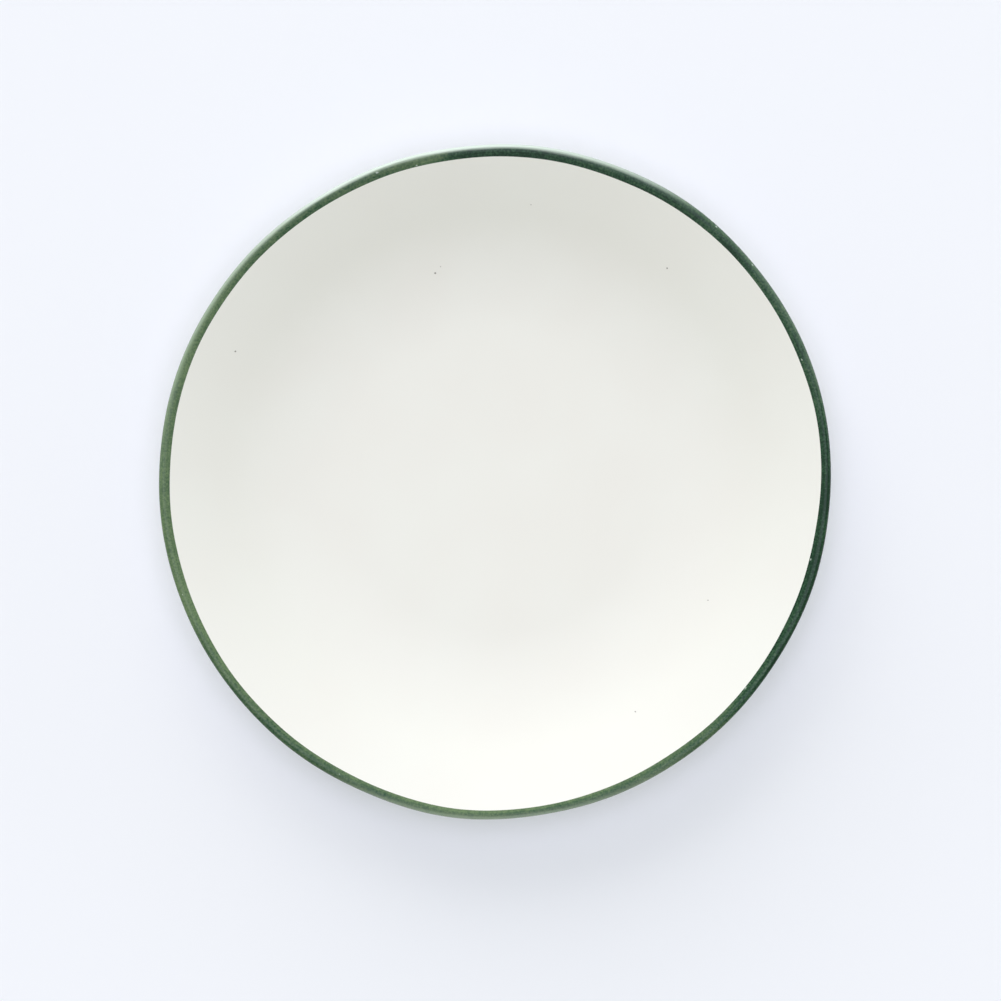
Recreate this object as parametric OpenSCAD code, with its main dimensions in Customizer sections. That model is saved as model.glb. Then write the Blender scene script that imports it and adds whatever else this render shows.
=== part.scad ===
// Coupe dinner plate in glazed china: one fired clay body with its foot ring, three coats of
// cream glaze, and a band of green-stained glaze that wraps the lip.
// Millimetres, +Z up. The origin is the centre of the plate, on the table it stands on.
// Every piece is a full turn of an outline drawn in the (radius, height) half plane.

/* [Plate] */
// Diameter over the finished lip
plate_d = 270; // [230:1:330]
// Height of the finished lip above the table
plate_h = 27; // [21:0.5:36]
// Diameter of the flat that the food lies on
well_d = 124; // [96:1:150]
// Width of the border where the wall eases off towards the lip
flare_w = 27; // [10:1:40]
// Slope at the lip, as a share of the steepest slope, which is at the border's inner edge
flare_ease = 0.9; // [0.2:0.05:0.95]

/* [Clay] */
// Thickness of the clay under the well
well_t = 4.2; // [3:0.1:6]
// Thickness of the clay where the wall meets the round of the lip
lip_t = 3.3; // [2:0.1:5]

/* [Foot ring] */
// Outer diameter of the foot ring
foot_d = 150; // [116:1:184]
// Width of the foot ring
foot_w = 5; // [4:0.1:8]
// Depth of the recess inside the foot ring
foot_h = 3.4; // [3:0.1:6]
// Radius of the hollows where the foot ring runs into the underside
foot_fillet = 1.8; // [0.5:0.1:3]
// Radius of the foot ring's two lower edges
foot_edge = 0.8; // [0.3:0.1:1.2]

/* [Glaze] */
// Thickness of the fired glaze
glaze_t = 0.35; // [0.2:0.05:0.6]
// Height above the table up to which the foot ring is wiped bare
wiped_h = 1.4; // [1.3:0.1:2]

/* [Green band] */
// Width of the band seen from above, from the lip inwards
band_w = 4.2; // [3:0.1:8]
// How far the band runs down the underside, past the round of the lip
band_under = 2; // [0.5:0.1:6]

/* [Hidden] */
$fn = 180;

// Colours of the fired pieces
clay_colour = "#e2d8c6";
cream_colour = "#f0f1ec";
green_colour = "#3f6650";

// Steps along each stretch of the outline: the long curves, the round of the lip, and the rest
curve_steps = 14;
lip_steps = 14;
short_steps = 6;

// The clay's own sizes, which are the finished ones less a coat of glaze
well_r = well_d / 2;
recess_z = foot_h + glaze_t;                // clay surface over the recess
well_z = recess_z + well_t;                 // clay surface under the food
lip_r = lip_t / 2;                          // round of the lip
lip_cr = plate_d / 2 - glaze_t - lip_r;     // centre of that round
lip_cz = plate_h - glaze_t - lip_r;
flare_r = plate_d / 2 - flare_w;            // where the wall is steepest
band_r = plate_d / 2 - band_w;              // inner edge of the band

// The wall is two arcs that meet at the steepest slope: a hollow one that rises out of the well,
// and an arched one that eases off to the lip. Their steepest slope is the one that brings the
// wall up to the lip's height.
function eased(slope) = asin(flare_ease * sin(slope));
function rise_to_lip(slope) = (flare_r - well_r) * tan(slope / 2)
    + (lip_cr - lip_r * sin(eased(slope)) - flare_r) * tan((slope + eased(slope)) / 2);
function steepest(low, high, tries) = let (mid = (low + high) / 2)
    tries == 0 ? mid
    : rise_to_lip(mid) < lip_cz + lip_r * cos(eased(mid)) - well_z ? steepest(mid, high, tries - 1)
    : steepest(low, mid, tries - 1);
wall_slope = steepest(0, 80, 40);
lip_slope = eased(wall_slope);

wall_end_r = lip_cr - lip_r * sin(lip_slope); // where the wall meets the round of the lip
hollow_q = (flare_r - well_r) / sin(wall_slope);
arch_q = (wall_end_r - flare_r) / (sin(wall_slope) - sin(lip_slope));

// Slope and height of the clay's upper surface at radius r, from the well to the lip
function face_slope(r) = r < well_r ? 0
    : r < flare_r ? asin((r - well_r) / hollow_q)
    : asin(sin(wall_slope) - (r - flare_r) / arch_q);
function face_z(r) = r < flare_r
    ? well_z + hollow_q * (1 - cos(face_slope(r)))
    : well_z + hollow_q * (1 - cos(wall_slope)) + arch_q * (cos(face_slope(r)) - cos(wall_slope));
// Thickness of the clay, square to its face: it thins evenly from the well to the lip
function clay_t(r) = well_t + (lip_t - well_t) * max(0, r - well_r) / (wall_end_r - well_r);

// An outline is a list of [r, z, nr, nz]: a point on the clay, and which way is out of it there
function face_point(r) = let (a = face_slope(r)) [r, face_z(r), -sin(a), cos(a)];
function back_point(r) = let (a = face_slope(r), t = clay_t(r))
    [r + t * sin(a), face_z(r) - t * cos(a), sin(a), -cos(a)];
function face(r0, r1, steps) = [for (i = [0:steps]) face_point(r0 + (r1 - r0) * i / steps)];
function back(r0, r1, steps) = [for (i = [0:steps]) back_point(r0 + (r1 - r0) * i / steps)];

// An arc of radius q about [cr, cz], from angle a0 to a1: side is 1 round a corner, -1 in a hollow
function arc(cr, cz, q, a0, a1, steps, side = 1) =
    [for (i = [0:steps]) let (a = a0 + (a1 - a0) * i / steps)
        [cr + q * cos(a), cz + q * sin(a), side * cos(a), side * sin(a)]];

// Foot ring, with hollows no larger than the glazed part of its flanks
foot_r = foot_d / 2;
foot_in_r = foot_r - foot_w;
hollow_r = min(foot_fillet, foot_h - wiped_h);
// Face radius above the place where the underside runs smoothly into the outer hollow
function meeting(r, tries) = tries == 0 ? r
    : meeting(foot_r + hollow_r - (clay_t(r) + hollow_r) * sin(face_slope(r)), tries - 1);
meet_r = meeting(foot_r, 8);
meet_slope = face_slope(meet_r);
outer_cz = back_point(meet_r)[1] - hollow_r * cos(meet_slope);
// Face radius above the band's lower edge
band_back_r = wall_end_r - band_under * cos(lip_slope);

// The stretches of the outline, from the middle of the well round to the middle of the recess
glazed_face = concat([face_point(0)], face(well_r, flare_r, curve_steps),
    face(flare_r, band_r, curve_steps));
band_face = face(band_r, wall_end_r, short_steps);
lip_round = arc(lip_cr, lip_cz, lip_r, 90 + lip_slope, lip_slope - 90, lip_steps);
band_back = back(wall_end_r, band_back_r, short_steps);
glazed_back = concat(back(band_back_r, flare_r, curve_steps), back(flare_r, meet_r, curve_steps));
outer_flank = concat(
    arc(foot_r + hollow_r, outer_cz, hollow_r, 90 + meet_slope, 180, short_steps, -1),
    [[foot_r, wiped_h, 1, 0]]);
bare_foot = concat(
    arc(foot_r - foot_edge, foot_edge, foot_edge, 0, -90, short_steps),
    arc(foot_in_r + foot_edge, foot_edge, foot_edge, -90, -180, short_steps));
inner_flank = concat([[foot_in_r, wiped_h, -1, 0]],
    arc(foot_in_r - hollow_r, recess_z - hollow_r, hollow_r, 0, 90, short_steps, -1));
recess_top = [[0, recess_z, 0, -1]];

// Points of a stretch, lifted off the clay by a thickness
function lifted(stretch, by) = [for (p = stretch) [p[0] + by * p[2], p[1] + by * p[3]]];
function reversed(list) = [for (i = [len(list) - 1:-1:0]) list[i]];

// A coat of glaze on a stretch of the clay
module coat(stretch)
    rotate_extrude()
        polygon(concat(lifted(stretch, 0), reversed(lifted(stretch, glaze_t))));

module clay_body()
    color(clay_colour)
        rotate_extrude()
            polygon(lifted(concat(glazed_face, band_face, lip_round, band_back, glazed_back,
                outer_flank, bare_foot, inner_flank, recess_top), 0));

module face_glaze()
    color(cream_colour)
        coat(glazed_face);

module rim_band()
    color(green_colour)
        coat(concat(band_face, lip_round, band_back));

module back_glaze()
    color(cream_colour)
        coat(concat(glazed_back, outer_flank));

module foot_well_glaze()
    color(cream_colour)
        coat(concat(inner_flank, recess_top));

clay_body();
face_glaze();
rim_band();
back_glaze();
foot_well_glaze();
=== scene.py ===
"""The looks of a hand-finished china dinner plate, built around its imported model.

Each coat of glaze, the green band and the clay body is turned from the section of its own CAD node,
and the whole plate is then given the small unevenness of a plate that was trimmed, painted and
fired by hand. Lengths are metres, and +Z is up, with the origin under the middle of the plate.
"""

import math

import bmesh
import bpy
import numpy as np
from bpy.props import FloatProperty, FloatVectorProperty, IntProperty, PointerProperty, StringProperty
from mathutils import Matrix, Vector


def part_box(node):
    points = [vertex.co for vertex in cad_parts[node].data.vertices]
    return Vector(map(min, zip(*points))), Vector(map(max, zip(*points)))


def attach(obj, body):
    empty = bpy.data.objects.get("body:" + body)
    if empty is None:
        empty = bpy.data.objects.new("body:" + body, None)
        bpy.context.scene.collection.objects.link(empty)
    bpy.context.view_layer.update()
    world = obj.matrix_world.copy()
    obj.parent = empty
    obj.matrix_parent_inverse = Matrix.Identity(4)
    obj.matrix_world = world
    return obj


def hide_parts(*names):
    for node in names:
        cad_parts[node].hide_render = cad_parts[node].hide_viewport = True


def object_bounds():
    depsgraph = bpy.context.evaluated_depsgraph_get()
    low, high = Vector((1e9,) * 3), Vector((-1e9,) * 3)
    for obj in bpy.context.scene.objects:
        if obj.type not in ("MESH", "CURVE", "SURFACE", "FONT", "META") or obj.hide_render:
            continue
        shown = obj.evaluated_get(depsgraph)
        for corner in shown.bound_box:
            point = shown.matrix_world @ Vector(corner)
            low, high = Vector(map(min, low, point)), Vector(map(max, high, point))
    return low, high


bl_info = {
    "name": "Hand-finished china plate",
    "version": (1, 0, 0),
    "blender": (4, 5, 0),
    "location": "View3D > Sidebar > Plate",
    "description": "Turns, glazes and paints a china dinner plate around its packed model",
    "category": "Add Mesh",
}

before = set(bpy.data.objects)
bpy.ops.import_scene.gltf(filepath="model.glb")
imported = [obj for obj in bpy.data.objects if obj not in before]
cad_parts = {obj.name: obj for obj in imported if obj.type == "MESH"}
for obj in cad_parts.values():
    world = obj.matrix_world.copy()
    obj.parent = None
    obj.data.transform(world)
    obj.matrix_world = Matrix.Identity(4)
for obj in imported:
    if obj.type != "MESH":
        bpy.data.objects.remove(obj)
CAD_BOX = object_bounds()

MM = 0.001
BODY = "root"

# Places that the plate's own model gives
LIP_R = CAD_BOX[1].x
LIP_Z = CAD_BOX[1].z
FOOT_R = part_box("foot_well_glaze")[1].x
BAND_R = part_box("face_glaze")[1].x
BAND_BACK_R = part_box("back_glaze")[1].x
LIP_MIDDLE_Z = (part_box("rim_band")[0].z + LIP_Z) / 2
# The camera takes in the plate and this much of the floor beside it, as a share of the plate
VIEW_SHARE = 1.4845


# ---- Settings ----


class PlateForm(bpy.types.PropertyGroup):
    """How far the fired plate is from a true turn, and how finely it is meshed"""

    segments: IntProperty(
        name="Segments", description="Segments round the plate", default=360, min=48, max=720
    )
    ring_gap: FloatProperty(
        name="Ring gap",
        description="Widest gap between two rings of the mesh",
        default=2.5 * MM,
        unit="LENGTH",
    )
    unevenness: FloatProperty(
        name="Unevenness",
        description="Share of the full unevenness that the hand-trimmed outline has",
        default=1.0,
        subtype="FACTOR",
    )
    warp: FloatProperty(
        name="Warp",
        description="How much the lip rose and sank in the kiln",
        default=0.3 * MM,
        unit="LENGTH",
    )
    brush_sway: FloatProperty(
        name="Brush sway",
        description="Share of the full sway that the edges of the painted band have",
        default=1.0,
        subtype="FACTOR",
    )


class PlateColours(bpy.types.PropertyGroup):
    """Colours of the clay, the glazes and the stage, as sRGB hex values"""

    cream: StringProperty(
        name="Cream glaze", description="Clear part of the cream glaze", default="#E8E9E0"
    )
    cream_warm: StringProperty(
        name="Warm cream", description="Where the cream glaze lies thick", default="#E7E7DE"
    )
    speck: StringProperty(
        name="Specks", description="Iron specks that melt through the glaze", default="#4F4A3C"
    )
    green_full: StringProperty(
        name="Full brush", description="Green glaze where the brush was full", default="#143320"
    )
    green: StringProperty(
        name="Green glaze", description="Green glaze on most of the band", default="#2A4C33"
    )
    green_spent: StringProperty(
        name="Spent brush", description="Green glaze where the brush ran low", default="#4A6346"
    )
    green_dry: StringProperty(
        name="Dry brush", description="Green glaze where it is thinnest", default="#667D57"
    )
    # Also laid on the pale outer lip that faces the window, which is partly a painted highlight
    green_wash: StringProperty(
        name="Green wash", description="Trace of green where the brush missed", default="#C9D7CA"
    )
    clay: StringProperty(name="Bare clay", description="Fired clay of the foot", default="#CDBFA6")
    clay_dark: StringProperty(
        name="Worn clay", description="Dirt in the turning marks of the foot", default="#9A8A72"
    )
    floor: StringProperty(
        name="Floor", description="Matt paper that the plate stands on", default="#EFF2F5"
    )
    room: StringProperty(
        name="Room", description="Warm light that the room throws back", default="#F8FFD9"
    )


class PlateStage(bpy.types.PropertyGroup):
    """Floor, lights and camera"""

    floor_size: FloatProperty(
        name="Floor", description="Side of the floor", default=8.0, unit="LENGTH"
    )
    light: FloatProperty(
        name="Light", description="Share of the full light of the bright parts", default=1.0
    )
    room_light: FloatProperty(
        name="Room light", description="Brightness of the room all round", default=0.42
    )
    lens: FloatProperty(
        name="Lens", description="Focal length in millimetres", default=85.0, unit="CAMERA"
    )
    view_width: FloatProperty(
        name="View width",
        description="Width that the camera takes in at the lip",
        default=LIP_R * 2 * VIEW_SHARE,
        unit="LENGTH",
    )
    view_offset: FloatVectorProperty(
        name="View offset",
        description="Place of the camera from the plate's middle",
        default=(2.1 * MM, -7.83 * MM),
        size=2,
        subtype="XYZ_LENGTH",
    )


class PlateSettings(bpy.types.PropertyGroup):
    """All the settings of the plate"""

    form: PointerProperty(type=PlateForm)
    colours: PointerProperty(type=PlateColours)
    stage: PointerProperty(type=PlateStage)


# ---- Shape ----

# Rings of a CAD mesh that are nearer than this to each other are one ring
SAME_RING = 0.05 * MM
# A turn of the section by more than this is a corner, and the rest are points along a curve
CORNER = math.radians(35)
# Waves of the trimmed outline and of the band's two edges: waves a turn, size in mm, phase in degrees
OUTLINE_WAVES = (
    (2, 0.60, -116), (3, 0.32, -107), (4, 0.17, 39), (6, 0.05, -122), (7, 0.06, -40),
    (9, 0.07, 164), (10, 0.07, -136), (12, 0.06, 116), (14, 0.08, -82),
)
FACE_EDGE_WAVES = (
    (0, -0.12, 0), (1, 0.33, 91), (2, 0.09, -61), (3, 0.31, -78), (4, 0.07, -69), (6, 0.08, -170),
    (7, 0.06, -61), (8, 0.07, -19), (9, 0.06, -23), (10, 0.05, -43), (12, 0.04, -81), (23, 0.03, 50),
)
BACK_EDGE_WAVES = ((2, 0.3, 130), (4, 0.25, 10), (11, 0.15, 95), (19, 0.12, 20), (37, 0.08, 0))
WARP_WAVES = ((2, 0.7, 30), (3, 0.5, 140), (5, 0.2, 60))
# How far from the band's edge its sway still moves the surface: inwards on the face, outwards on
# the face, and either way on the back
SWAY_IN = 6 * MM
SWAY_OUT = 2 * MM
SWAY_BACK = 1.4 * MM
# How steep the wall is at the lip, where the band's edges slide along it
WALL_SLOPE = math.radians(20)


def section(node):
    """The (radius, height) points round the section of a turned CAD node, in order."""
    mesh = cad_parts[node].data
    places = np.array([v.co for v in mesh.vertices])
    flat = np.column_stack([np.hypot(places[:, 0], places[:, 1]), places[:, 2]])
    rings = []
    ring_of = {}
    for point in np.unique(np.round(flat, 5), axis=0):
        near = [k for k, ring in enumerate(rings) if np.hypot(*(ring - point)) < SAME_RING]
        ring_of[tuple(point)] = near[0] if near else len(rings)
        if not near:
            rings.append(point)
    index = [ring_of[tuple(point)] for point in np.round(flat, 5)]
    nearby = {k: set() for k in range(len(rings))}
    for edge in mesh.edges:
        a, b = (index[v] for v in edge.vertices)
        if a != b:
            nearby[a].add(b)
            nearby[b].add(a)
    ends = [k for k, others in nearby.items() if len(others) == 1]
    walk = [min(ends, key=lambda k: -rings[k][1]) if ends else 0]
    while True:
        onward = [k for k in nearby[walk[-1]] if k not in walk]
        if not onward:
            break
        walk.append(onward[0])
    points = [rings[k] for k in walk]
    if ends:
        points = [np.array([0, points[0][1]])] + points + [np.array([0, points[-1][1]])]
    return points


def smoothed(points, gap):
    """The closed section with points added along its curves and straights, and its corners kept."""
    count = len(points)

    def is_corner(k):
        into, out = points[k] - points[k - 1], points[(k + 1) % count] - points[k]
        turn = math.atan2(into[0] * out[1] - into[1] * out[0], into @ out)
        return abs(turn) > CORNER

    corner = [is_corner(k) for k in range(count)]
    result = []
    for k in range(count):
        a, b = points[k], points[(k + 1) % count]
        before = 2 * a - b if corner[k] else points[k - 1]
        after = 2 * b - a if corner[(k + 1) % count] else points[(k + 2) % count]
        span = np.hypot(*(b - a))
        if a[0] == 0 and b[0] == 0:
            result.append(a)
            continue
        straight = corner[k] and corner[(k + 1) % count]
        steps = max(1 if straight else 2, math.ceil(span / gap))
        # Tangents are scaled to this span, so that a long straight beside a short one stays straight
        leave = (b - before) / max(np.hypot(*(b - before)), 1e-9) * span
        reach = (after - a) / max(np.hypot(*(after - a)), 1e-9) * span
        for i in range(steps):
            t = i / steps
            result.append(
                (2 * t**3 - 3 * t**2 + 1) * a
                + (t**3 - 2 * t**2 + t) * leave
                + (3 * t**2 - 2 * t**3) * b
                + (t**3 - t**2) * reach
            )
    return result


def waves(turn, parts):
    """A sum of waves round the plate: parts are (waves a turn, size, phase in degrees)."""
    return sum(size * np.cos(number * turn + math.radians(phase)) for number, size, phase in parts)


def hand_made(places, form):
    """Where points of a truly turned plate lie on the plate as trimmed, painted and fired."""
    x, y, z = places.T
    radius = np.hypot(x, y)
    turn = np.arctan2(y, x)
    # The foot stays flat and round, and the lip is free to move
    free = np.clip((radius - FOOT_R) / (LIP_R - FOOT_R), 0, 1) ** 2
    out = form.unevenness * MM * waves(turn, OUTLINE_WAVES)
    rise = form.warp * waves(turn, WARP_WAVES)
    # The edges of the band slide along the surface, most at the edge itself
    on_face = z > LIP_MIDDLE_Z
    reach = np.where(radius < BAND_R, SWAY_IN, SWAY_OUT)
    near_face_edge = np.where(on_face, np.exp(-(((radius - BAND_R) / reach) ** 2)), 0)
    near_back_edge = np.where(on_face, 0, np.exp(-(((radius - BAND_BACK_R) / SWAY_BACK) ** 2)))
    slide = near_face_edge * waves(turn, FACE_EDGE_WAVES)
    slide = slide + near_back_edge * waves(turn, BACK_EDGE_WAVES)
    slide = slide * form.brush_sway * MM
    moved = radius + out * free + slide
    height = z + rise * free + slide * math.tan(WALL_SLOPE)
    return np.column_stack([moved * np.cos(turn), moved * np.sin(turn), height])


def turned_piece(name, node, material, form):
    """A closed mesh object: the section of a CAD node, turned about Z and made uneven by hand."""
    points = smoothed(section(node), form.ring_gap)
    turns = np.arange(form.segments) / form.segments * 2 * math.pi
    places = []
    rings = []
    for r, z in points:
        first = len(places)
        if r < SAME_RING:
            places.append((0, 0, z))
            rings.append([first] * form.segments)
        else:
            places.extend((r * math.cos(t), r * math.sin(t), z) for t in turns)
            rings.append(range(first, first + form.segments))
    moved = hand_made(np.array(places), form)
    sheet = bmesh.new()
    lip = sheet.verts.layers.float.new("from_lip")
    corners = []
    for old, new in zip(places, moved):
        vertex = sheet.verts.new(new)
        # Distance in from the outline of the lip as seen from above, or below it where negative
        inward = (LIP_R - math.hypot(old[0], old[1])) / MM
        vertex[lip] = inward if old[2] > LIP_MIDDLE_Z else -inward
        corners.append(vertex)
    for a, b in zip(rings, rings[1:] + rings[:1]):
        for k in range(form.segments):
            k2 = (k + 1) % form.segments
            loop = []
            for index in (a[k], a[k2], b[k2], b[k]):
                if index not in loop:
                    loop.append(index)
            if len(loop) > 2:
                sheet.faces.new([corners[index] for index in loop])
    bmesh.ops.recalc_face_normals(sheet, faces=sheet.faces)
    mesh = bpy.data.meshes.new(name)
    sheet.to_mesh(mesh)
    sheet.free()
    mesh.shade_smooth()
    mesh.set_sharp_from_angle(angle=CORNER)
    mesh.materials.append(material)
    piece = bpy.data.objects.new(name, mesh)
    bpy.context.scene.collection.objects.link(piece)
    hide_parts(node)
    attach(piece, BODY)
    return piece


# ---- Materials ----

NOISE = "ShaderNodeTexNoise"
PLACE = "ShaderNodeTexCoord"
MATH = "ShaderNodeMath"
VECTOR = "ShaderNodeVectorMath"
JOIN = "ShaderNodeCombineXYZ"
SPLIT = "ShaderNodeSeparateXYZ"
# Inputs of a mix of colours: 0 is the share of the second colour, and 6 and 7 are the two colours
MIX = "ShaderNodeMix"
# Inputs of a span: 0 is a value, 1 and 2 are two places on its way, 3 and 4 are what it is there
SPAN = "ShaderNodeMapRange"
RAMP = "ShaderNodeValToRGB"
BUMP = "ShaderNodeBump"
PRINCIPLED = "ShaderNodeBsdfPrincipled"
OUTPUT = "ShaderNodeOutputMaterial"
GLOW = "ShaderNodeBackground"
COLOURS = {"data_type": "RGBA", "give": 2}
SMOOTH = {"interpolation_type": "SMOOTHSTEP"}
TIMES = {"operation": "MULTIPLY"}
PLUS = {"operation": "ADD"}
LESS = {"operation": "SUBTRACT"}
TIMES_PLUS = {"operation": "MULTIPLY_ADD"}
LENGTH = {"operation": "LENGTH", "give": "Value"}
DISTANCE = {"operation": "DISTANCE", "give": "Value"}
DOT = {"operation": "DOT_PRODUCT", "give": "Value"}

# Fired glaze bends light as window glass does
GLAZE_IOR = 1.5
# Sizes of what the materials show: clouds of thicker glaze, the soft edge of a speck, the orange
# peel of the glaze, and the gap between the rings that the trimming tool left on the back
CLOUD = 30 * MM
SPECK_EDGE = 0.6 * MM
PEEL = 4 * MM
TRIMMED_RING = 5 * MM
# Streaks of the brush, width and length; patches where it was pressed or lifted; the ragged end
STREAK_WIDTH = 0.6 * MM
STREAK_LENGTH = 20 * MM
PATCH = 12 * MM
BRISTLE = 1.5 * MM
# The brush was set down aslant, by this turn in radians for each mm in from the lip, and its ragged
# end adds up to this much turn
SLANT = 0.004
RAGGED = 0.03
# Grains of the stain are too fine to show, and are drawn this coarse
STAIN_GRAIN = 0.9 * MM
# Turning marks and sand of the bare clay, and fibres of the paper
TURNING_MARK = 0.7 * MM
CLAY_GRAIN = 0.8 * MM
FIBRE = 2 * MM

# Iron specks on the face: place across and up from the middle, and size, in mm
FACE_SPECKS = (
    (69.4, 86.0, 0.75), (-104.7, 52.2, 0.75), (-24.5, 84.7, 0.8), (56.6, -93.2, 0.6),
    (86.3, -48.3, 0.5), (-22.3, 87.3, 0.4), (14.4, 111.6, 0.4),
)
# The brush went down at this turn and on clockwise, and came back to it nearly dry
STROKE_START = math.radians(97)
# How spent the brush was along the stroke: share of the stroke, and 0 for full to 1 for dry
BRUSH_SPENT = (
    (0.0, 0.36), (0.01, 0.09), (0.10, 0.15), (0.17, 0.22), (0.21, 0.20), (0.27, 0.04),
    (0.37, 0.18), (0.40, 0.40), (0.47, 0.45), (0.53, 0.62), (0.63, 0.42), (0.71, 0.86),
    (0.78, 0.68), (0.83, 0.88), (0.89, 0.70), (0.95, 0.50), (0.99, 0.76), (1.0, 0.40),
)
# How the outer side of the lip took the glaze along the stroke: 0 pooled, 0.5 even, 1 bare.
# Where that side faces the window, its bare, pale end is partly a painted highlight
OUTER_SIDE_AND_HIGHLIGHT = (
    (0.0, 0.97), (0.05, 0.89), (0.10, 0.78), (0.13, 0.65), (0.16, 0.67), (0.22, 0.66),
    (0.26, 0.58), (0.32, 0.38), (0.37, 0.32), (0.41, 0.60), (0.45, 0.70), (0.50, 0.75),
    (0.54, 0.75), (0.58, 0.72), (0.61, 0.62), (0.64, 0.40), (0.67, 0.22), (0.72, 0.46),
    (0.77, 0.62), (0.82, 0.71), (0.88, 0.77), (0.91, 0.82), (0.94, 0.94), (0.96, 1.0),
    (1.0, 1.0),
)
# How the inner edge of the stroke took it: 0 pooled, 0.5 even, 1 dry
INNER_EDGE = (
    (0.0, 0.44), (0.10, 0.44), (0.20, 0.46), (0.30, 0.57), (0.36, 0.60), (0.41, 0.66),
    (0.45, 0.95), (0.60, 0.90), (0.70, 0.62), (0.80, 0.42), (0.85, 0.30), (1.0, 0.36),
)
# Pale nicks in the band: turn clockwise from +X in degrees, distance in from the lip and size in mm
NICKS = (
    (-111, 2.1, 1.0), (-49, 0.7, 0.7), (-40, 0.9, 0.6), (14, 3.8, 0.6), (-21.6, 3.3, 0.6),
    (39.5, 4.0, 1.0), (-104, 3.8, 0.5), (-69, 3.9, 0.5), (118, 2.4, 0.4), (160, 1.6, 0.4),
)


def linear(hex_colour):
    """An sRGB hex colour as linear red, green, blue and alpha."""
    channels = [int(hex_colour[k : k + 2], 16) / 255 for k in (1, 3, 5)]
    return [c / 12.92 if c <= 0.04045 else ((c + 0.055) / 1.055) ** 2.4 for c in channels] + [1]


def add(tree, kind, inputs, give=0, stops=(), **settings):
    """Adds a node with its settings, values, links and ramp stops, and gives one of its outputs."""
    node = tree.nodes.new(kind)
    for name, value in settings.items():
        setattr(node, name, value)
    for key, value in inputs.items():
        if isinstance(value, bpy.types.NodeSocket):
            tree.links.new(value, node.inputs[key])
        else:
            node.inputs[key].default_value = value
    for count, (place, value) in enumerate(stops):
        elements = node.color_ramp.elements
        stop = elements[count] if count < 2 else elements.new(place)
        stop.position = place
        stop.color = linear(value) if isinstance(value, str) else (value, value, value, 1)
    return node.outputs[give] if node.outputs else node


def new_material(name):
    """An empty node material and its tree."""
    material = bpy.data.materials.new(name)
    material.use_nodes = True
    material.node_tree.nodes.clear()
    return material, material.node_tree


def cream_glaze(name, colours, turning_marks):
    """Transparent cream glaze, poured over pale china and fired: smooth and faintly clouded, with a
    satin gloss, an orange peel too low to cast shade, and a few iron specks melted through it."""
    material, tree = new_material(name)
    place = add(tree, PLACE, {}, give="Object")
    clouds = add(tree, NOISE, {"Vector": place, "Scale": 1 / CLOUD, "Detail": 1.0})
    thick = add(tree, SPAN, {0: clouds, 1: 0.25, 2: 0.75})
    creams = {0: thick, 6: linear(colours.cream), 7: linear(colours.cream_warm)}
    colour = add(tree, MIX, creams, **COLOURS)
    # Specks have soft edges, because the glaze ran over them as it melted
    edge = add(tree, NOISE, {"Vector": place, "Scale": 1 / SPECK_EDGE})
    for x, y, size in FACE_SPECKS:
        wide = size * MM
        away = add(tree, VECTOR, {0: place, 1: (1, 1, 0)}, **TIMES)
        away = add(tree, VECTOR, {0: away, 1: (x * MM, y * MM, 0)}, **DISTANCE)
        rough = add(tree, MATH, {0: edge, 1: 0.6 * wide, 2: away}, **TIMES_PLUS)
        dot = add(tree, SPAN, {0: rough, 1: 0.5 * wide, 2: 0.9 * wide, 3: 0.8, 4: 0.0}, **SMOOTH)
        colour = add(tree, MIX, {0: dot, 6: colour, 7: linear(colours.speck)}, **COLOURS)
    peel = add(tree, NOISE, {"Vector": place, "Scale": 1 / PEEL, "Detail": 2.0})
    if turning_marks:
        # Rings that the trimming tool left still show through the glaze
        flat = add(tree, VECTOR, {0: place, 1: (1, 1, 0)}, **TIMES)
        radius = add(tree, VECTOR, {0: flat}, **LENGTH)
        marks = add(tree, MATH, {0: radius, 1: 2 * math.pi / TRIMMED_RING}, **TIMES)
        marks = add(tree, MATH, {0: marks}, operation="SINE")
        peel = add(tree, MATH, {0: marks, 1: 0.35, 2: peel}, **TIMES_PLUS)
    # The rings catch the light, and the orange peel alone hardly does
    strength = 0.12 if turning_marks else 0.02
    bump = add(tree, BUMP, {"Height": peel, "Strength": strength, "Distance": 0.2 * MM})
    gloss = add(tree, SPAN, {0: clouds, 1: 0.2, 2: 0.8, 3: 0.38, 4: 0.42})
    shader = {"Base Color": colour, "Roughness": gloss, "IOR": GLAZE_IOR, "Normal": bump}
    shader["Specular IOR Level"] = 0.35
    surface = add(tree, PRINCIPLED, shader)
    add(tree, OUTPUT, {"Surface": surface})
    return material


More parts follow.
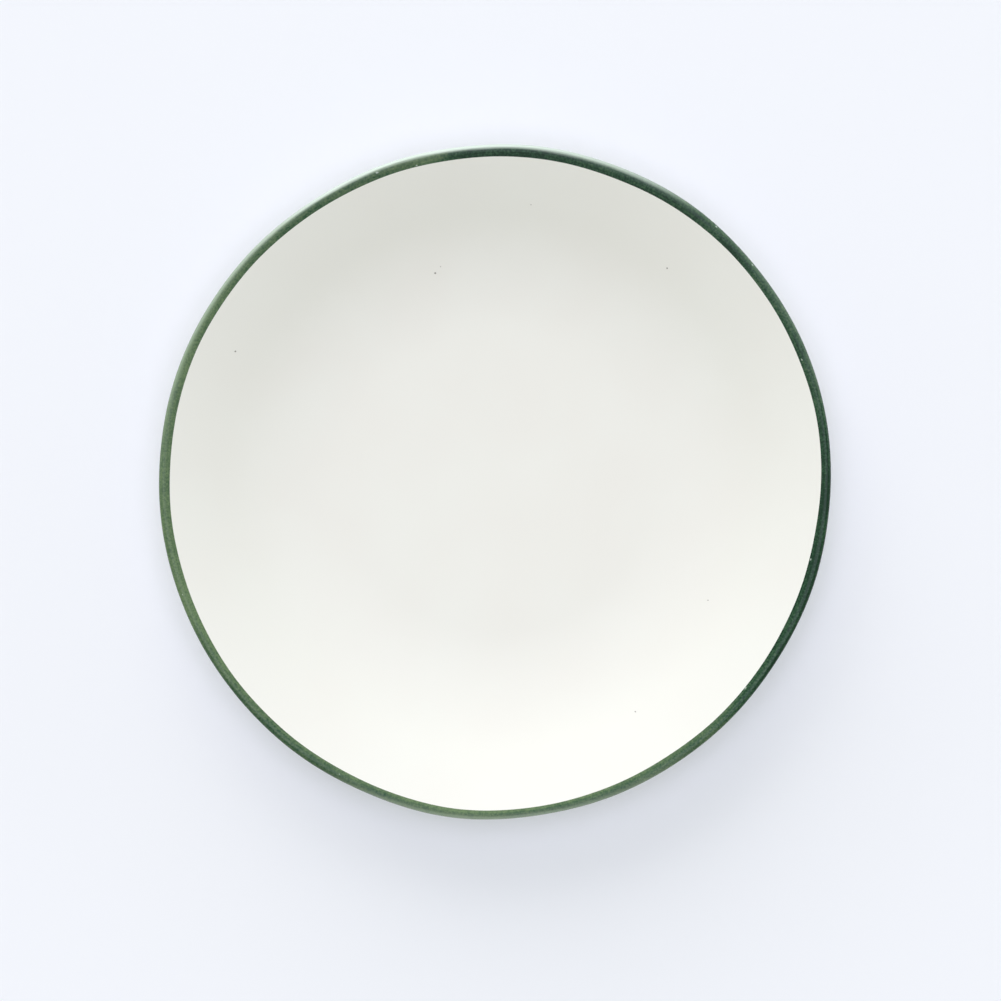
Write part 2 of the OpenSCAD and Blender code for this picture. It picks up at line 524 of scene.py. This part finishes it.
def brushed_green_glaze(name, colours):
    """Copper-green glaze, brushed over the lip in one turn of the wheel: dark where the brush was
    full, sage where it ran dry, grainy, streaked along the stroke and glossy."""
    material, tree = new_material(name)
    place = add(tree, PLACE, {}, give="Object")
    from_lip = add(tree, "ShaderNodeAttribute", {}, give="Fac", attribute_name="from_lip")
    x = add(tree, SPLIT, {0: place}, give="X")
    y = add(tree, SPLIT, {0: place}, give="Y")
    turn = add(tree, MATH, {0: y, 1: x}, operation="ARCTAN2")
    # Where the brush went down, with its slant and its ragged end
    bristles = add(tree, NOISE, {"Vector": place, "Scale": 1 / BRISTLE, "Detail": 2.0})
    aslant = add(tree, MATH, {0: from_lip, 1: SLANT, 2: STROKE_START}, **TIMES_PLUS)
    aslant = add(tree, MATH, {0: bristles, 1: RAGGED, 2: aslant}, **TIMES_PLUS)
    # Share of the stroke, counted clockwise from there
    stroke = add(tree, MATH, {0: aslant, 1: turn}, **LESS)
    stroke = add(tree, MATH, {0: stroke, 1: 1 / (2 * math.pi)}, **TIMES)
    stroke = add(tree, MATH, {0: stroke}, operation="FRACT")
    # Streaks are far longer than wide, so their noise runs along the stroke
    streak_place = add(tree, JOIN, {0: stroke, 1: from_lip})
    drawn_out = (2 * math.pi * LIP_R / STREAK_LENGTH, MM / STREAK_WIDTH, 0)
    streak_place = add(tree, VECTOR, {0: streak_place, 1: drawn_out}, **TIMES)
    streaks = add(tree, NOISE, {"Vector": streak_place, "Scale": 1.0, "Detail": 3.0})
    patches = add(tree, NOISE, {"Vector": place, "Scale": 1 / PATCH, "Detail": 2.0})
    grains = {"Vector": place, "Scale": 1 / STAIN_GRAIN, "Detail": 3.0, "Roughness": 0.6}
    grain = add(tree, NOISE, grains)
    # How spent the brush was, from 0 for full to 1 for dry, made uneven by streaks, patches and grain
    spent = add(tree, RAMP, {0: stroke}, stops=BRUSH_SPENT)
    for uneven, share in ((streaks, 0.5), (patches, 0.5), (grain, 1.3)):
        spread = add(tree, MATH, {0: uneven, 1: 0.5}, **LESS)
        spent = add(tree, MATH, {0: spread, 1: share, 2: spent}, **TIMES_PLUS)
    # Along its inner edge the glaze pooled in a thin line, or ran out
    edge = add(tree, RAMP, {0: stroke}, stops=INNER_EDGE)
    edge = add(tree, MATH, {0: edge, 1: 0.5}, **LESS)
    inside = add(tree, SPAN, {0: from_lip, 1: 2.6, 2: 4.0, 3: 0.0, 4: 0.7}, **SMOOTH)
    spent = add(tree, MATH, {0: edge, 1: inside, 2: spent}, **TIMES_PLUS)
    # On the outer side of the lip it pooled or ran thin, and where that side faces the window the
    # paler, thinner green is partly a painted highlight
    side = add(tree, RAMP, {0: stroke}, stops=OUTER_SIDE_AND_HIGHLIGHT)
    outside = add(tree, SPAN, {0: from_lip, 1: 2.0, 2: 0.8, 3: 0.0, 4: 1.0}, **SMOOTH)
    pooled = add(tree, SPAN, {0: side, 1: 0.5, 2: 0.0, 3: 0.0, 4: -0.45}, **SMOOTH)
    thinned = add(tree, SPAN, {0: side, 1: 0.5, 2: 1.0, 3: 0.0, 4: 0.5}, **SMOOTH)
    change = add(tree, MATH, {0: pooled, 1: thinned}, **PLUS)
    spent = add(tree, MATH, {0: change, 1: outside, 2: spent}, **TIMES_PLUS)
    greens = (
        (0.0, colours.green_full), (0.25, colours.green), (0.55, colours.green_spent),
        (0.95, colours.green_dry),
    )
    colour = add(tree, RAMP, {0: spent}, stops=greens)
    # Where the stain broke over the edge of the lip, only a wash of green is left on the cream, and
    # below the edge the band is whole again. On the side that faces the window this pale wash is partly
    # a painted highlight on the lip, in place of the glaze's own reflection
    bare_and_highlight_side = add(tree, SPAN, {0: side, 1: 0.60, 2: 0.98}, **SMOOTH)
    ragged = add(tree, MATH, {0: streaks, 1: 0.9, 2: from_lip}, **TIMES_PLUS)
    bare_edge = add(tree, SPAN, {0: ragged, 1: 2.7, 2: 1.2}, **SMOOTH)
    under = add(tree, SPAN, {0: ragged, 1: 0.0, 2: 0.42}, **SMOOTH)
    bare = add(tree, MATH, {0: bare_and_highlight_side, 1: bare_edge}, **TIMES)
    bare = add(tree, MATH, {0: bare, 1: under}, **TIMES)
    colour = add(tree, MIX, {0: bare, 6: colour, 7: linear(colours.green_wash)}, **COLOURS)
    # Nicks, where the stain didn't take, are longer along the stroke than across it
    clockwise = add(tree, MATH, {0: turn, 1: -LIP_R / MM}, **TIMES)
    painted = add(tree, JOIN, {0: clockwise, 1: from_lip})
    for degrees, inward, size in NICKS:
        middle = (math.radians(degrees) * LIP_R / MM, inward, 0)
        away = add(tree, VECTOR, {0: painted, 1: middle}, give="Vector", **LESS)
        away = add(tree, VECTOR, {0: away, 1: (0.5, 1, 0)}, **TIMES)
        away = add(tree, VECTOR, {0: away}, **LENGTH)
        rough = add(tree, MATH, {0: bristles, 1: size, 2: away}, **TIMES_PLUS)
        nick = add(tree, SPAN, {0: rough, 1: 0.6 * size, 2: 0.95 * size, 3: 0.6, 4: 0.0}, **SMOOTH)
        colour = add(tree, MIX, {0: nick, 6: colour, 7: linear(colours.green_wash)}, **COLOURS)
    height = add(tree, MATH, {0: streaks, 1: grain}, **PLUS)
    bump = add(tree, BUMP, {"Height": height, "Strength": 0.12, "Distance": 0.1 * MM})
    shader = {"Base Color": colour, "Roughness": 0.22, "IOR": GLAZE_IOR, "Normal": bump}
    shader["Specular IOR Level"] = 0.22
    surface = add(tree, PRINCIPLED, shader)
    add(tree, OUTPUT, {"Surface": surface})
    return material


def bare_clay(name, colours):
    """Fired china clay, turned, wiped clean of glaze and worn on the table: matt, warm and
    fine-grained, with turning marks that hold a little dirt."""
    material, tree = new_material(name)
    place = add(tree, PLACE, {}, give="Object")
    flat = add(tree, VECTOR, {0: place, 1: (1, 1, 0)}, **TIMES)
    radius = add(tree, VECTOR, {0: flat}, **LENGTH)
    marks = add(tree, MATH, {0: radius, 1: 2 * math.pi / TURNING_MARK}, **TIMES)
    marks = add(tree, MATH, {0: marks}, operation="SINE")
    grain = add(tree, NOISE, {"Vector": place, "Scale": 1 / CLAY_GRAIN, "Detail": 4.0})
    grooves = add(tree, SPAN, {0: marks, 1: 0.0, 2: 1.0, 3: 0.0, 4: 0.5}, **SMOOTH)
    dirt = add(tree, SPAN, {0: grain, 1: 0.4, 2: 0.7}, **SMOOTH)
    dirt = add(tree, MATH, {0: dirt, 1: grooves}, **TIMES)
    colour = add(tree, MIX, {0: dirt, 6: linear(colours.clay), 7: linear(colours.clay_dark)}, **COLOURS)
    height = add(tree, MATH, {0: marks, 1: grain}, **PLUS)
    bump = add(tree, BUMP, {"Height": height, "Strength": 0.3, "Distance": 0.1 * MM})
    surface = add(tree, PRINCIPLED, {"Base Color": colour, "Roughness": 0.85, "Normal": bump})
    add(tree, OUTPUT, {"Surface": surface})
    return material


def matt_paper(name, colours):
    """Matt coated paper, rolled smooth: even, pale and free of gloss."""
    material, tree = new_material(name)
    place = add(tree, PLACE, {}, give="Object")
    fibre = add(tree, NOISE, {"Vector": place, "Scale": 1 / FIBRE, "Detail": 2.0})
    bump = add(tree, BUMP, {"Height": fibre, "Strength": 0.02, "Distance": 0.05 * MM})
    shader = {"Base Color": linear(colours.floor), "Roughness": 0.9, "Normal": bump}
    surface = add(tree, PRINCIPLED, shader)
    add(tree, OUTPUT, {"Surface": surface})
    return material


# ---- Operators ----


class PLATE_OT_clay_body(bpy.types.Operator):
    """Turn the clay body with its foot ring"""

    bl_idname = "plate.clay_body"
    bl_label = "Clay body"

    def execute(self, context):
        plate = context.scene.plate
        material = bare_clay("fired_china_clay_turned", plate.colours)
        piece = turned_piece("plate_clay_body", "clay_body", material, plate.form)
        return {"FINISHED"}


class PLATE_OT_cream_coats(bpy.types.Operator):
    """Lay the three coats of cream glaze on the face, the underside and inside the foot ring"""

    bl_idname = "plate.cream_coats"
    bl_label = "Cream glaze"

    def execute(self, context):
        plate = context.scene.plate
        face = cream_glaze("cream_glaze_poured_face", plate.colours, turning_marks=False)
        back = cream_glaze("cream_glaze_poured_back", plate.colours, turning_marks=True)
        for name, node, material in (
            ("plate_face_glaze", "face_glaze", face),
            ("plate_back_glaze", "back_glaze", back),
            ("plate_foot_well_glaze", "foot_well_glaze", back),
        ):
            piece = turned_piece(name, node, material, plate.form)
        return {"FINISHED"}


class PLATE_OT_green_band(bpy.types.Operator):
    """Brush the green band round the lip"""

    bl_idname = "plate.green_band"
    bl_label = "Green band"

    def execute(self, context):
        plate = context.scene.plate
        material = brushed_green_glaze("green_glaze_brushed", plate.colours)
        piece = turned_piece("plate_rim_band", "rim_band", material, plate.form)
        return {"FINISHED"}


# Bright parts of the room: turn to the middle and whole width, lowest and highest edge above the
# horizon (all in degrees), brightness, and colour
ROOM_PARTS = (
    (105, 60, 0, 40, 2.56, "#FFF9FC"),  # window
    (90, 180, 0, 15, 1.87, "#DCE5FF"),  # white wall and sill on the window's side
    (90, 360, 60, 90, 2.19, "#E4DFFF"),  # ceiling
)
# The edges of the bright parts are this many degrees soft to each side
SOFT = 4


def room_sky(colours, stage, parts):
    """The light of a white room with a window, the same all over the floor and seen as paper."""
    world = bpy.data.worlds.new("white_room")
    world.use_nodes = True
    tree = world.node_tree
    tree.nodes.clear()
    way = add(tree, PLACE, {}, give="Generated")
    up = add(tree, SPLIT, {0: way}, give="Z")
    level = add(tree, VECTOR, {0: way, 1: (1, 1, 0)}, **TIMES)
    level = add(tree, VECTOR, {0: level}, operation="NORMALIZE")
    weak = {"Color": linear(colours.room), "Strength": stage.room_light}
    light = add(tree, GLOW, weak)
    for turn, wide, low, high, brightness, colour in parts:
        edges = [math.sin(math.radians(angle)) for angle in (low - SOFT, low + SOFT)]
        share = add(tree, SPAN, {0: up, 1: edges[0], 2: edges[1], 4: brightness}, **SMOOTH)
        if high < 90:
            edges = [math.sin(math.radians(angle)) for angle in (high + SOFT, high - SOFT)]
            below = add(tree, SPAN, {0: up, 1: edges[0], 2: edges[1]}, **SMOOTH)
            share = add(tree, MATH, {0: share, 1: below}, **TIMES)
        if wide < 360:
            middle = (math.cos(math.radians(turn)), math.sin(math.radians(turn)), 0)
            across = add(tree, VECTOR, {0: level, 1: middle}, **DOT)
            edges = [math.cos(math.radians(wide / 2 + side)) for side in (SOFT, -SOFT)]
            inside = add(tree, SPAN, {0: across, 1: edges[0], 2: edges[1]}, **SMOOTH)
            share = add(tree, MATH, {0: share, 1: inside}, **TIMES)
        share = add(tree, MATH, {0: share, 1: stage.light}, **TIMES)
        part = add(tree, GLOW, {"Color": linear(colour), "Strength": share})
        light = add(tree, "ShaderNodeAddShader", {0: light, 1: part})
    # The room itself is seen as plain as the floor
    paper = add(tree, GLOW, {"Color": linear(colours.floor), "Strength": 1.0})
    seen = add(tree, "ShaderNodeLightPath", {}, give="Is Camera Ray")
    sky = add(tree, "ShaderNodeMixShader", {0: seen, 1: light, 2: paper})
    add(tree, "ShaderNodeOutputWorld", {"Surface": sky})
    return world


class PLATE_OT_stage(bpy.types.Operator):
    """Set the floor, the window light, the light of the room and the camera"""

    bl_idname = "plate.stage"
    bl_label = "Stage"

    def execute(self, context):
        plate = context.scene.plate
        stage = plate.stage
        scene = context.scene

        sheet = bmesh.new()
        half = stage.floor_size / 2
        places = [(x * half, y * half, 0) for x, y in ((-1, -1), (1, -1), (1, 1), (-1, 1))]
        sheet.faces.new([sheet.verts.new(place) for place in places])
        mesh = bpy.data.meshes.new("floor")
        sheet.to_mesh(mesh)
        sheet.free()
        mesh.materials.append(matt_paper("matt_paper_rolled", plate.colours))
        floor = bpy.data.objects.new("floor", mesh)
        scene.collection.objects.link(floor)

        scene.world = room_sky(plate.colours, stage, ROOM_PARTS)

        lens = bpy.data.cameras.new("overhead")
        lens.lens = stage.lens
        camera = bpy.data.objects.new("overhead", lens)
        height = LIP_Z + stage.view_width * lens.lens / lens.sensor_width
        camera.location = (stage.view_offset[0], stage.view_offset[1], height)
        scene.collection.objects.link(camera)
        scene.camera = camera
        scene.view_settings.view_transform = "Standard"
        return {"FINISHED"}


class PLATE_PT_panel(bpy.types.Panel):
    """The steps and settings of the plate"""

    bl_label = "China plate"
    bl_idname = "PLATE_PT_panel"
    bl_space_type = "VIEW_3D"
    bl_region_type = "UI"
    bl_category = "Plate"

    def draw(self, context):
        plate = context.scene.plate
        for operator in OPERATORS:
            self.layout.operator(operator.bl_idname)
        for group in (plate.form, plate.colours, plate.stage):
            box = self.layout.box()
            for name in group.__annotations__:
                box.prop(group, name)


GROUPS = (PlateForm, PlateColours, PlateStage, PlateSettings)
OPERATORS = (PLATE_OT_clay_body, PLATE_OT_cream_coats, PLATE_OT_green_band, PLATE_OT_stage)


def register():
    for kind in GROUPS + OPERATORS + (PLATE_PT_panel,):
        bpy.utils.register_class(kind)
    bpy.types.Scene.plate = PointerProperty(type=PlateSettings)


def unregister():
    del bpy.types.Scene.plate
    for kind in reversed(GROUPS + OPERATORS + (PLATE_PT_panel,)):
        bpy.utils.unregister_class(kind)


def main():
    register()
    bpy.ops.plate.clay_body()
    bpy.ops.plate.cream_coats()
    bpy.ops.plate.green_band()
    bpy.ops.plate.stage()


if __name__ == "__main__":
    main()
